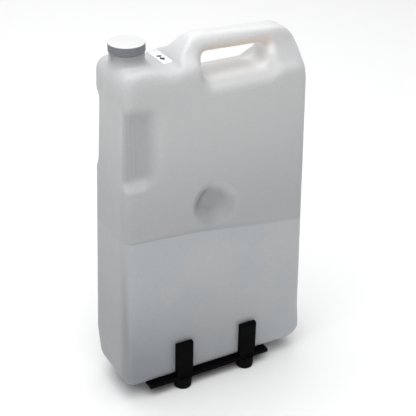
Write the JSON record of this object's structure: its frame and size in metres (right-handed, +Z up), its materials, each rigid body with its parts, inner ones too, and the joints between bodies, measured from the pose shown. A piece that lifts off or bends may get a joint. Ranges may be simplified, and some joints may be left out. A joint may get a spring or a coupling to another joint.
{
  "type": "portable liquid tank",
  "caption": "Slim blow-moulded liquid tank with a carry handle, screw cap and side finger grips, standing in a low steel bracket on rubber feet.",
  "frame": {"origin": "on the floor, under the middle of the tank", "axes": "+X along the width, away from the cap; -Y the front broad face; +Z up"},
  "size_m": [0.3802, 0.165, 0.672],
  "materials": {
    "polyethylene": "satin, milky and slightly see-through",
    "cap_white": "satin",
    "liner_foam": "matte",
    "label_paper": "matte",
    "black_steel": "powder coated, satin",
    "foot_rubber": "matte",
    "screw_steel": "black oxide"
  },
  "bodies": {
    "bracket": {"rail_front": "black_steel", "rail_back": "black_steel", "cross_bar_left": "black_steel", "cross_bar_right": "black_steel", "upright_front_left": "black_steel", "upright_front_right": "black_steel", "upright_back_left": "black_steel", "upright_back_right": "black_steel", "foot_front_left": "foot_rubber", "foot_front_right": "foot_rubber", "foot_back_left": "foot_rubber", "foot_back_right": "foot_rubber", "foot_screw_front_left": "screw_steel", "foot_screw_front_right": "screw_steel", "foot_screw_back_left": "screw_steel", "foot_screw_back_right": "screw_steel", "upright_screw_front_left": "screw_steel", "upright_screw_front_right": "screw_steel", "upright_screw_back_left": "screw_steel", "upright_screw_back_right": "screw_steel"},
    "tank": {"tank_body": "polyethylene", "shoulder_label": "label_paper"},
    "liner": {"cap_liner": "liner_foam"},
    "cap": {"screw_cap": "cap_white"}
  },
  "joints": [
    {"name": "tank_lift", "type": "slide", "parent": "bracket", "child": "tank", "axis": [0, 0, 1], "range_m": [0, 0.12]},
    {"name": "cap_rise", "type": "slide", "parent": "tank", "child": "liner", "axis": [0, 0, 1], "range_m": [0, 0.0211]},
    {"name": "cap_turn", "type": "hinge", "parent": "liner", "child": "cap", "pos_m": [-0.1396, 0, 0.66], "axis": [0, 0, 1], "range_deg": [0, 1260]}
  ],
  "couplings": [
    {"joint": "cap_rise", "follows": "cap_turn", "m_per_rad": 0.00095493}
  ]
}
